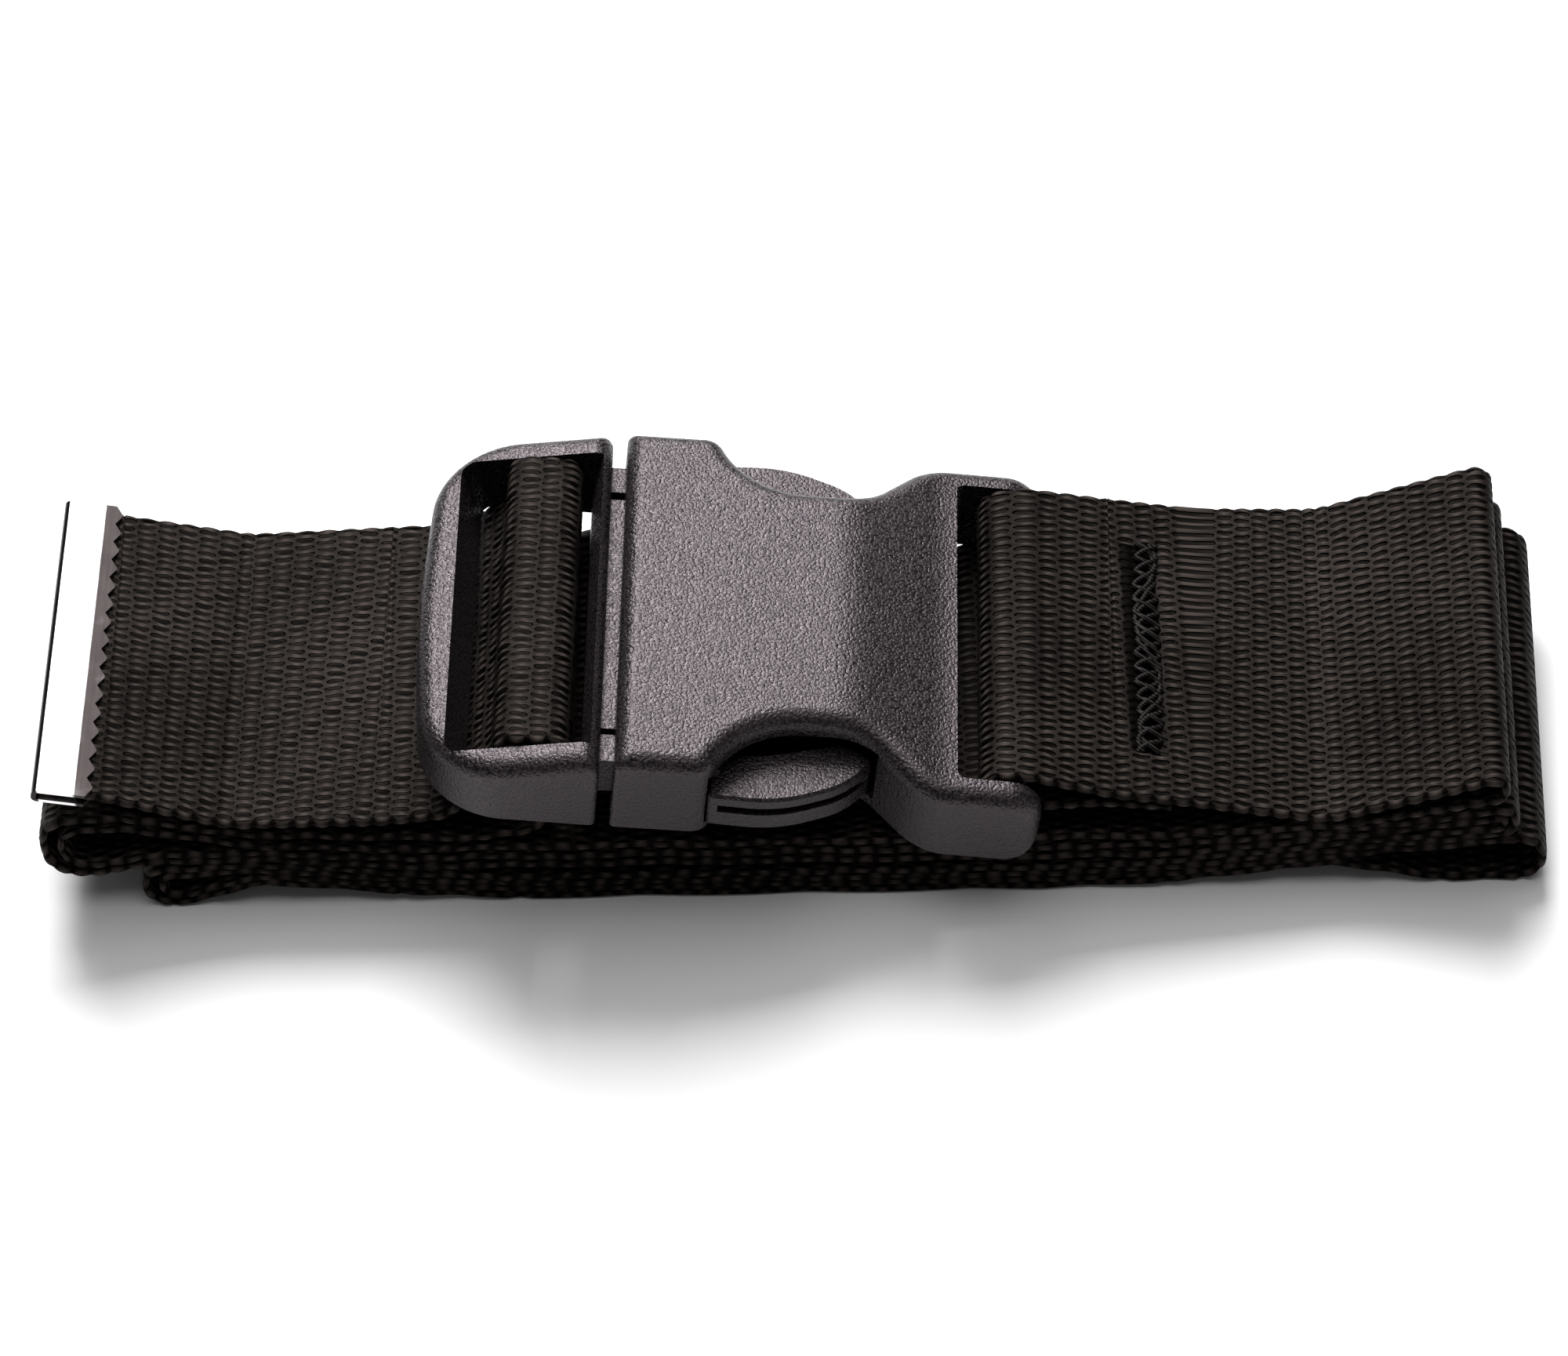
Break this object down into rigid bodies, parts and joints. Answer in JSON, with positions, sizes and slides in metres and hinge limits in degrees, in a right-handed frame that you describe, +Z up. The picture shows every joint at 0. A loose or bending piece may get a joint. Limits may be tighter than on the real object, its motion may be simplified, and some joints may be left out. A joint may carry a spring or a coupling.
{
  "type": "luggage strap",
  "caption": "Wide woven webbing strap, folded flat in a zigzag and closed by a plastic side-release buckle with a ladder adjuster; metal clip on the free tail.",
  "frame": {"origin": "on the supporting surface, under the middle of the folded strap", "axes": "+X along the webbing from the free tail to the sewn end, +Y across the webbing, +Z up"},
  "size_m": [0.2032, 0.0586, 0.0351],
  "materials": {
    "webbing": "matte woven",
    "thread": "matte",
    "buckle": "fine-grained satin",
    "clip": "bright"
  },
  "bodies": {
    "strap": {"webbing": "webbing", "female_body": "buckle", "male_frame": "buckle", "strap_end_clip": "clip", "bar_tack_top_thread": "thread", "bar_tack_bobbin_thread": "thread"},
    "near_prong": {"prong_near": "buckle"},
    "far_prong": {"prong_far": "buckle"}
  },
  "joints": [
    {"name": "near_prong_squeeze", "type": "hinge", "parent": "strap", "child": "near_prong", "pos_m": [-0.02033, -0.0234, 0.02158], "axis": [0.1305, 0, 0.9914], "range_deg": [0, 9], "stiffness_Nm_per_rad": 0.6},
    {"name": "far_prong_squeeze", "type": "hinge", "parent": "strap", "child": "far_prong", "pos_m": [-0.02033, 0.0234, 0.02158], "axis": [-0.1305, 0, -0.9914], "range_deg": [0, 9], "stiffness_Nm_per_rad": 0.6}
  ]
}
